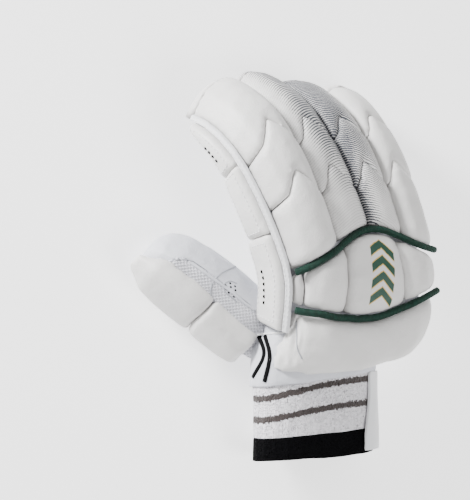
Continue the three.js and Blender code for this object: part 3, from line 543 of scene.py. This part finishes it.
pad_look = leather("pad_leather_plain", WHITE, painted_seam_shade=True)
bar_look = leather("bar_leather", WHITE)
print_look = printed_leather()
palm_look = leather("palm_leather_plain", PALM, 0.52, 1000, 0.03, 0.00008, 0.0009)
holed_look = holed_leather()
trim_look = leather("trim_leather", TRIM, 0.5, 950, 0.02, 0.00008, 0.0003)
cuff_look = knit("towelling_white", (0.86, 0.84, 0.88), stripes=True)
hem_look = knit("elastic_black", BLACK)
mesh_look = open_mesh("open_mesh_white", (0.62, 0.62, 0.67), 3.1)


def motif_leather():
    """White pad leather with a plain mark of green and gold chevrons in its middle."""
    look = leather("pad_leather_motif", WHITE, painted_seam_shade=True)
    x, y, _ = look.attribute("mark")
    side = look.size(x)
    lift = look.maths("MULTIPLY_ADD", side, 0.75, y)
    tall = look.size(look.minus(lift, 5.25))
    inside = look.times(look.ramp(side, 10.3, 9.8), look.ramp(tall, 21.0, 20.8))
    band = look.size(look.repeat(look.maths("ADD", lift, 36.75), 10.5))
    green = look.times(look.ramp(band, 0.27, 0.24), inside)
    rim = look.times(look.ramp(band, 0.345, 0.315), inside)
    tone = look.blend(rim, look.tone, (*GOLD, 1))
    look.paint(look.blend(green, tone, (*GREEN, 1)))
    return look


def strap_leather():
    """White strap with one green band and a thin gold line on each side of it."""
    look = leather("strap_leather", TRIM, 0.42, 950, 0.02, 0.00006, 0.0002)
    x, y, _ = look.attribute("mark")
    away = look.size(y)
    ends = look.ramp(look.size(x), 24.5, 24.0)
    green = look.times(look.ramp(away, 7.3, 6.9), ends)
    gold = look.times(look.ramp(away, 9.3, 8.9), ends)
    tone = look.blend(gold, look.tone, (*GOLD, 1))
    look.paint(look.blend(green, tone, (*GREEN, 1)))
    return look


def piping_cloth():
    look = Look("piping_green", GREEN, 0.7, Specular_IOR_Level=0.25)
    x, _, z = look.attribute("hand")
    weave = look.maths("SINE", look.times(look.maths("ADD", x, look.times(z, 1.3)), 5.2))
    dark, light = (0.002, 0.020, 0.012, 1), (0.003, 0.032, 0.020, 1)
    look.paint(look.blend(look.ramp(look.noise(300, 3.0), 0.3, 0.7), dark, light))
    look.bump((weave, 0.0002), (look.noise(700, 2.0), 0.0002))
    return look


motif_look = motif_leather()
strap_look = strap_leather()
piping_look = piping_cloth()
thread_look = Look("thread_white", (0.70, 0.70, 0.71), 0.7).material

# Pads of the fingers, with their rounded tip caps

PRINTED = {"middle", "ring"}
# Where the print starts along the back and how strong it is, for each pad of a finger
PRINT_START = {"base": 0.47, "middle": 0.55, "tip": 0.66}
PRINT_STRENGTH = {"base": 0.42, "middle": 0.8, "tip": 0.98}


def mark_back(piece):
    place = back_place(hand_frame(points_of(piece)))
    u, t, h = place[:, 0], place[:, 1], place[:, 2]
    note(piece, "back", np.stack([u, t * BACK_LENGTH, h], 1))
    return u, t, h


for finger in FINGERS:
    face = (print_look if finger in PRINTED else pad_look).material
    for part in ("base", "middle", "tip"):
        piece = soft_pad(f"pad_{finger}_{part}", f"soft_pad_{finger}_{part}", face)
        u, t, h = mark_back(piece)
        if finger in PRINTED:
            shift = 0.03 if finger == "ring" else 0.0
            fade = smooth((t - PRINT_START[part] - shift) / 0.13)
            side = np.where(u < 2, smooth((u - 1.12) / 0.42), smooth((3.02 - u) / 0.6))
            valley = np.exp(-(((u - 2.03) / 0.17) ** 2)) * smooth((t - 0.40) / 0.05)
            mask = np.clip(0.95 * valley + PRINT_STRENGTH[part] * side * fade, 0, 1)
            note(piece, "print", np.stack([mask, t, h], 1))
    piece = soft_pad(f"tip_cap_{finger}", f"soft_tip_cap_{finger}", face, rounds=5)
    u, t, h = mark_back(piece)
    if finger in PRINTED:
        mask = np.where(u < 2, smooth((u - 1.12) / 0.42), smooth((3.02 - u) / 0.4))
        note(piece, "print", np.stack([mask, t, h], 1))

for name in ("hand_pad_thumb_side", "hand_pad_index", "hand_pad_little"):
    mark_back(soft_pad(name, f"soft_{name}", pad_look.material, rounds=5))
middle = soft_pad("hand_pad_middle", "soft_hand_pad_middle", motif_look.material, rounds=5)
u, t, h = mark_back(middle)
note(middle, "mark", np.stack([(u - 2.05) * ROW_PITCH, (t - 0.275) * 242, h], 1))

soft_pad("wrist_roll", "soft_wrist_roll", bar_look.material, voxel=0.0023, rounds=8, dent=0.0007)
for name in ("side_bar_hand", "side_bar_finger", "side_bar_tip"):
    soft_pad(name, f"soft_{name}", bar_look.material, rounds=4, voxel=0.0018, puff=0.0003)
for name, rounds in (("thumb_pad_base", 6), ("thumb_pad_tip", 16)):
    soft_pad(name, f"soft_{name}", bar_look.material, rounds=rounds)

# Leather of the hand, the stalls and the thumb

hand_skin = soft_skin("hand_leather", "soft_hand_leather", palm_look.material, 2, 10, 0.0006, 0.016)
for i, finger in enumerate(FINGERS):
    stall = soft_skin(f"stall_{finger}", f"soft_stall_{finger}", holed_look.material, 2, 5, 0.0005, 0.012)
    hand = hand_frame(points_of(stall))
    place = back_place(hand)
    t = place[:, 1]
    centre = row_at(i, t)
    a = np.einsum("ij,ij->i", hand - centre["point"], centre["across"])
    s = t * rows[i]["length"]
    deep = np.einsum("ij,ij->i", hand - centre["point"], centre["out"])
    inside = ((deep < -19) & (t > 0.60) & (t < 0.90)).astype(float)
    note(stall, "flat", np.stack([a - np.median(a), s, inside], 1))
    soft_skin(f"tip_band_{finger}", f"soft_tip_band_{finger}", trim_look.material, 2, 2, slot="white_leather")

fuller_thumb(soft_skin("thumb_leather", "soft_thumb_leather", palm_look.material, 2, 6, 0.0006, 0.014))
thumb_mesh = soft_skin(
    "thumb_mesh", "soft_thumb_mesh", mesh_look.material, 2, 6, 0.0005, 0.014, slot="open_mesh")
fuller_thumb(thumb_mesh)
hand = hand_frame(points_of(thumb_mesh))
right_mm, up_mm = hand @ SEEN_RIGHT, hand @ SEEN_UP
along_mm = 0.785 * right_mm - 0.619 * up_mm
across_mm = 0.619 * right_mm + 0.785 * up_mm
note(thumb_mesh, "flat", np.stack([along_mm, across_mm, hand @ SEEN], 1))

# Cuff, hem, strap, cords and gusset

for node, look, slot in (("cuff", cuff_look, "white_knit"), ("cuff_hem", hem_look, "black_knit")):
    piece = soft_skin(node, f"soft_{node}", look.material, 4, 8, 0.0009, 0.02, slot=slot)
    hand = hand_frame(points_of(piece))
    angle = np.arctan2(hand[:, 2] * 1.9, hand[:, 0])
    note(piece, "cuff", np.stack([angle * 38, hand[:, 1], hand[:, 2]], 1))

# The strap's free end goes on round the wrist to its back and flares a little
CUFF_HALF_WIDTH = 48.5
CUFF_HALF_DEPTH = 25
CUFF_POWER = 2.3
strap = soft_skin("wrist_strap", "soft_wrist_strap", strap_look.material, 3, 3, slot="white_leather")
hand = hand_frame(points_of(strap))
wide, deep = hand[:, 0] / CUFF_HALF_WIDTH, hand[:, 2] / CUFF_HALF_DEPTH
turn = np.arctan2(deep, wide)
size = (np.abs(wide) ** CUFF_POWER + np.abs(deep) ** CUFF_POWER) ** (1 / CUFF_POWER)
last = smooth((turn - turn.max() + 1.3) / 1.3)
low = smooth((-18 - hand[:, 1]) / 30)
more = (0.60 + 0.14 * low) * last
size += (0.006 + 0.035 * low) * last
hand[:, 1] -= 5.5 * low * last
angle = turn + more
reach = (np.abs(np.cos(angle)) ** CUFF_POWER + np.abs(np.sin(angle)) ** CUFF_POWER) ** (-1 / CUFF_POWER)
hand[:, 0] = np.cos(angle) * reach * size * CUFF_HALF_WIDTH
hand[:, 2] = np.sin(angle) * reach * size * CUFF_HALF_DEPTH
set_points(strap, row_frame(hand))
note(strap, "mark", np.stack([hand[:, 0] - 6, hand[:, 1] + 35 - 0.09 * hand[:, 0], hand[:, 2]], 1))
for which in ("near_wrist", "near_fingers"):
    soft_skin(f"cord_{which}", f"soft_cord_{which}", piping_look.material, 2, 3, slot="green_piping")
soft_skin("side_gusset", "soft_side_gusset", trim_look.material, 2, 3, slot="white_leather")

# Gathered leather between the side panel and the roll
for piece in (bpy.data.objects["soft_wrist_roll"], hand_skin):
    co, n = points_of(piece), normals_of(piece)
    hand = hand_frame(co)
    x = hand @ SEEN_RIGHT
    y = hand[:, 1]
    near = smooth((x + 30) / 5) * smooth((-6 - x) / 8) * smooth((y + 2) / 8)
    near = near * smooth((40 - y) / 10) * smooth(hand @ SEEN / 12)
    bend = 2.2 * crumple(co, 0.013, 5.0) + 0.9 * np.sin(y * 0.17)
    wave = np.sin(x * 0.95 + bend) * (0.6 + 0.7 * crumple(co, 0.012, 8.0))
    wave = wave + 0.8 * crumple(co * np.array([1, 0.4, 1]), 0.0045, 3.0)
    set_points(piece, co + n * (0.0010 * near * wave)[:, None])

for piece, nodes, slot, look, kind in LATER:
    finish_piece(piece, nodes, look)

# Seams, threads and small holes, laid on the soft pieces


def tree_of(*names):
    """A search tree over the named visual pieces, in the row frame."""
    points, faces = [], []
    for name in names:
        mesh = bpy.data.objects[name].data
        base = len(points)
        points += [v.co.copy() for v in mesh.vertices]
        faces += [[base + k for k in f.vertices] for f in mesh.polygons]
    return BVHTree.FromPolygons(points, faces)


def seen_on(tree, x, y):
    """Where the photograph's line of sight through x, y (mm from the wrist) meets the pieces."""
    start = row_frame(SEEN_RIGHT * x + SEEN_UP * y + SEEN * 400)
    hit, normal, _, _ = tree.ray_cast(Vector(start), Vector(SPIN @ -SEEN))
    if hit is None:
        return None
    if normal.dot(Vector(SPIN @ SEEN)) < 0:
        normal = -normal
    return hit, normal


def on_nearest(tree, point):
    """The nearest point of the pieces to a point of the row frame, with the outward normal."""
    hit, normal, _, _ = tree.find_nearest(Vector(point))
    way = Vector(point) - hit
    if way.dot(normal) < 0 and way.length > 0.0003:
        normal = -normal
    return hit, normal


def mesh_piece(name, points, faces, look):
    mesh = bpy.data.meshes.new(name)
    mesh.from_pydata([tuple(p) for p in points], [], faces)
    for f in mesh.polygons:
        f.use_smooth = True
    piece = bpy.data.objects.new(name, mesh)
    bpy.context.scene.collection.objects.link(piece)
    finish_piece(piece, [], look)
    return piece


# One thread's rings: place along it, size and height, as shares of its length and radius
THREAD_RINGS = ((0.0, 0.4, -0.35), (0.18, 1.0, 0.35), (0.82, 1.0, 0.35), (1.0, 0.4, -0.35))


def stitches(name, paths, length=0.0024, gap=0.0013, radius=0.00042, look=None):
    """Short rounded threads along each path of (point, normal)."""
    points, faces = [], []
    for path in paths:
        if len(path) < 3:
            continue
        p = np.array([tuple(a) for a, _ in path])
        n = np.array([tuple(b) for _, b in path])
        d = np.concatenate([[0], np.cumsum(np.linalg.norm(np.diff(p, axis=0), axis=1))])
        s = 0.0

        def at(x, q):
            return np.array([np.interp(x, d, q[:, k]) for k in range(3)])

        while s + length < d[-1]:
            a, na, b, nb = at(s, p), at(s, n), at(s + length, p), at(s + length, n)
            along = unit(b - a)
            up = unit(na + nb)
            side = unit(np.cross(along, up))
            up = np.cross(side, along)
            base = len(points)
            for place, size, lift in THREAD_RINGS:
                centre = a + (b - a) * place + up * radius * lift
                for k in range(6):
                    angle = math.pi * k / 3
                    spoke = side * math.cos(angle) + up * math.sin(angle) * 0.8
                    points.append(centre + spoke * radius * size)
            for r in range(base, base + 18, 6):
                for k in range(6):
                    k2 = (k + 1) % 6
                    faces.append((r + k, r + k2, r + 6 + k2, r + 6 + k))
            faces.append(tuple(base + k for k in reversed(range(6))))
            faces.append(tuple(base + 18 + k for k in range(6)))
            s += length + gap
    return mesh_piece(name, points, faces, look or thread_look)


def ribbon(name, path, width, height, look):
    """A flat rounded line along a path of (point, normal)."""
    points, faces = [], []
    shape = ((-1, -0.4), (-0.8, 0.7), (-0.3, 1), (0.3, 1), (0.8, 0.7), (1, -0.4))
    for k, (p, n) in enumerate(path):
        a = np.array(path[max(0, k - 1)][0])
        b = np.array(path[min(len(path) - 1, k + 1)][0])
        along = unit(b - a)
        side = unit(np.cross(along, np.array(n)))
        up = np.cross(side, along)
        for x, h in shape:
            points.append(np.array(p) + side * x * width / 2 + up * h * height)
    m = len(shape)
    for k in range(len(path) - 1):
        for j in range(m):
            j2 = (j + 1) % m
            faces.append((k * m + j, (k + 1) * m + j, (k + 1) * m + j2, k * m + j2))
    faces.append(tuple(range(m)))
    faces.append(tuple((len(path) - 1) * m + j for j in reversed(range(m))))
    return mesh_piece(name, points, faces, look)


def smooth_line(points, count):
    """A smooth line through a few points of any dimension."""
    p = np.asarray(points, float)
    d = np.concatenate([[0], np.cumsum(np.linalg.norm(np.diff(p, axis=0), axis=1))])
    slopes = np.gradient(p, d, axis=0)
    out = []
    for s in np.linspace(0, d[-1], count):
        k = min(len(d) - 2, int(np.searchsorted(d, s, side="right")) - 1)
        w = d[k + 1] - d[k]
        f = (s - d[k]) / w
        out.append((2 * f**3 - 3 * f**2 + 1) * p[k] + (f**3 - 2 * f**2 + f) * w * slopes[k]
                   + (3 * f**2 - 2 * f**3) * p[k + 1] + (f**3 - f**2) * w * slopes[k + 1])
    return np.array(out)


def seen_path(tree, points, count, lift=0.0):
    """A smooth line over the pieces through a few points of the photograph's view."""
    path = []
    for x, y in smooth_line(points, count):
        found = seen_on(tree, x, y)
        if found is not None:
            path.append((found[0] + found[1] * lift, found[1]))
    return path


def side_point(v, t, w):
    """Points beside the index finger: v below the edge of the back and w out from it, in mm."""
    point, _ = line_at(0, t)
    side = row_at(0, t)
    return row_frame(point - side["out"] * v - side["across"] * w)


black_look = Look("elastic_line_black", BLACK, 0.95, Specular_IOR_Level=0.1).material
seam_look = Look("seam_grey", (0.30, 0.31, 0.34), 0.7).material
wrist_tree = tree_of(
    "soft_hand_leather", "soft_thumb_leather", "soft_thumb_mesh", "soft_cuff", "soft_wrist_roll")

# The two black elastic lines of the side panel, and its edge
for k, line in enumerate((
    [(-39.7, 21.0), (-35.8, 9.7), (-43.7, -8.7)],
    [(-35.1, 21.0), (-32.0, 8.7), (-35.6, -11.7)],
)):
    path = seen_path(wrist_tree, line, 30)
    if len(path) > 5:
        ribbon(f"side_panel_line_{k}", path, 0.0034, 0.0011, black_look)
bar_edge = seen_path(wrist_tree, [(-40.8, 21.6), (-31.0, 22.6), (-20.8, 23.6)], 24)
if len(bar_edge) > 5:
    ribbon("side_panel_edge", bar_edge, 0.0016, 0.0007, thread_look)

# The seam at the thumb side of the wrist roll
roll_seam = seen_path(wrist_tree, [(-13.2, 32.0), (-12.6, 22.0), (-12.2, 12.0), (-9.0, 5.0)], 30, lift=0.0003)
if len(roll_seam) > 5:
    ribbon("roll_seam", roll_seam, 0.0009, 0.0003, seam_look)

# The folded edge of leather over the thumb's mesh
thumb_edge = seen_path(wrist_tree, [
    (-104.0, 73.5), (-99.5, 75.5), (-93.0, 75.6), (-84.0, 70.6),
    (-74.0, 63.0), (-60.0, 53.0), (-47.0, 42.2), (-41.8, 38.8),
], 60)
if len(thumb_edge) > 5:
    ribbon("thumb_edge", thumb_edge, 0.0026, 0.0010, palm_look.material)

# The round leather patch in the crotch of the thumb, with its seam and air holes
arc = seen_path(wrist_tree, [(-73.6, 46.5), (-73.2, 56.8), (-67.3, 64.9), (-56.1, 70.6)], 36)
if len(arc) > 5:
    ribbon("crotch_seam", arc, 0.0011, 0.00035, seam_look)
inset = seen_path(wrist_tree, [
    (-55.5, 58.5), (-60.5, 60.0), (-64.5, 57.5), (-64.0, 53.0), (-59.0, 48.5), (-55.0, 45.0),
], 36)
if len(inset) > 5:
    ribbon("crotch_inset_seam", inset, 0.0009, 0.0003, seam_look)
HOLES = (
    (-63.4, 57.3), (-60.1, 58.5), (-56.6, 56.3), (-62.7, 54.2), (-59.6, 55.8),
    (-56.3, 53.5), (-61.0, 51.8), (-58.3, 52.2), (-55.6, 50.6), (-57.5, 49.0),
)
HOLE_RADIUS = 0.00085
# Each air hole is a flat black disc on the leather: the glove has a hole there, and its dark inside is
# painted shade.
dots, faces = [], []
for x, y in HOLES:
    found = seen_on(wrist_tree, x, y)
    if found is None:
        continue
    p, n = np.array(found[0]), np.array(found[1])
    side = unit(np.cross(n, (0.3, 0.2, 1)))
    up = np.cross(n, side)
    base = len(dots)
    for a in np.linspace(0, 2 * math.pi, 13)[:-1]:
        dots.append(p + n * 0.00012 + (side * math.cos(a) + up * math.sin(a)) * HOLE_RADIUS)
    faces.append(tuple(range(base, base + 12)))
mesh_piece("crotch_holes", dots, faces, black_look)

# Stitches along the gusset and the side bars
gusset_tree = tree_of("soft_side_gusset")
paths = []
for v, w in ((-7.9, 6.2), (-5.9, 7.6)):
    t = np.linspace(0.12, 0.975, 90)
    paths.append([on_nearest(gusset_tree, p) for p in side_point(v, t, w)])
stitches("stitches_gusset", paths, radius=0.0003)

# Each bar: its two ends along the row, its upper edge, and its lower edge at either end
bar_paths = []
for name, (t0, t1, top, near, far) in {
    "hand": (0.105, 0.455, -0.15, 1.0, 0.95),
    "finger": (0.458, 0.70, -0.17, 0.86, 0.62),
    "tip": (0.703, 0.965, -0.13, 0.6, 0.1),
}.items():
    bar_tree = tree_of(f"soft_side_bar_{name}")
    edges = [[(a, b) for b in np.linspace(0.06, 0.94, 40)] for a in (0.14, 0.86)]
    edges += [[(a, b) for a in np.linspace(0.14, 0.86, 20)] for b in (0.06, 0.94)]
    for edge in edges:
        line = []
        for a, b in edge:
            v = BAR_HEIGHT * (top + (near + (far - near) * b - top) * a)
            line.append(side_point(v, np.array([t0 + (t1 - t0) * b]), 14)[0])
        bar_paths.append([on_nearest(bar_tree, p) for p in line])
stitches("stitches_side_bars", bar_paths)

# Plain dashes along the bars, where the real ones carry lettering
marks = []
for name, (t0, t1, v0, v1) in {"hand": (0.17, 0.335, 12.5, 13.5), "tip": (0.76, 0.86, 5.0, 4.0)}.items():
    bar_tree = tree_of(f"soft_side_bar_{name}")
    t = np.linspace(t0, t1, 50)
    line = np.concatenate([side_point(v, np.array([x]), 15) for v, x in zip(np.linspace(v0, v1, 50), t)])
    marks.append([on_nearest(bar_tree, p) for p in line])
stitches(
    "dashes_side_bars", marks,
    length=0.0026, gap=0.0019, radius=0.00085, look=black_look)

# Floor, light and camera

floor_mesh = bpy.data.meshes.new("floor")
floor_mesh.from_pydata([(-6, -6, 0), (6, -6, 0), (6, 6, 0), (-6, 6, 0)], [], [(0, 1, 2, 3)])
floor = bpy.data.objects.new("floor", floor_mesh)
bpy.context.scene.collection.objects.link(floor)
floor_look = Look("floor_pale", (0.95, 0.95, 0.95), 0.8)
floor_look.shader.inputs["Emission Color"].default_value = (1, 1, 1, 1)
floor_look.shader.inputs["Emission Strength"].default_value = 1.2
floor_mesh.materials.append(floor_look.material)

world = bpy.data.worlds.new("studio")
world.use_nodes = True
world.node_tree.nodes["Background"].inputs["Color"].default_value = (1.0, 1.0, 1.0, 1)
world.node_tree.nodes["Background"].inputs["Strength"].default_value = 0.72
bpy.context.scene.world = world

# The middle of the picture in the hand's frame, seen along the photograph's line
AIM = SEEN_RIGHT * -56.6 + SEEN_UP * 82.3 + SEEN * 22
aim = Vector(row_frame(AIM))
to_camera = Vector(SPIN @ SEEN).normalized()
up = Vector(SPIN @ SEEN_UP).normalized()
right = up.cross(to_camera).normalized()
up = to_camera.cross(right).normalized()
DISTANCE = 2.5
SENSOR = 36
VIEW_WIDTH = 0.358  # metres across the picture at the glove
camera_data = bpy.data.cameras.new("camera")
camera_data.lens = SENSOR * DISTANCE / VIEW_WIDTH
camera_data.sensor_width = SENSOR
camera_data.clip_end = 50
camera = bpy.data.objects.new("camera", camera_data)
bpy.context.scene.collection.objects.link(camera)
turn = Matrix((right, up, to_camera)).transposed().to_4x4()
camera.matrix_world = Matrix.Translation(aim + to_camera * DISTANCE) @ turn
bpy.context.scene.camera = camera


def area_light(name, across, height, toward, size, energy):
    """An area light over the glove: its place is given along the camera's right, up and line."""
    data = bpy.data.lights.new(name, "AREA")
    data.shape = "DISK"
    data.size = size
    data.energy = energy
    lamp = bpy.data.objects.new(name, data)
    bpy.context.scene.collection.objects.link(lamp)
    centre = Vector((0, 0, 0.05))
    lamp.location = centre + right * across + up * height + to_camera * toward
    lamp.rotation_euler = (centre - lamp.location).to_track_quat("-Z", "Y").to_euler()


area_light("key", -1.15, 1.0, 0.7, 0.5, 92)
area_light("fill", 0.9, -0.5, 0.9, 0.8, 15)
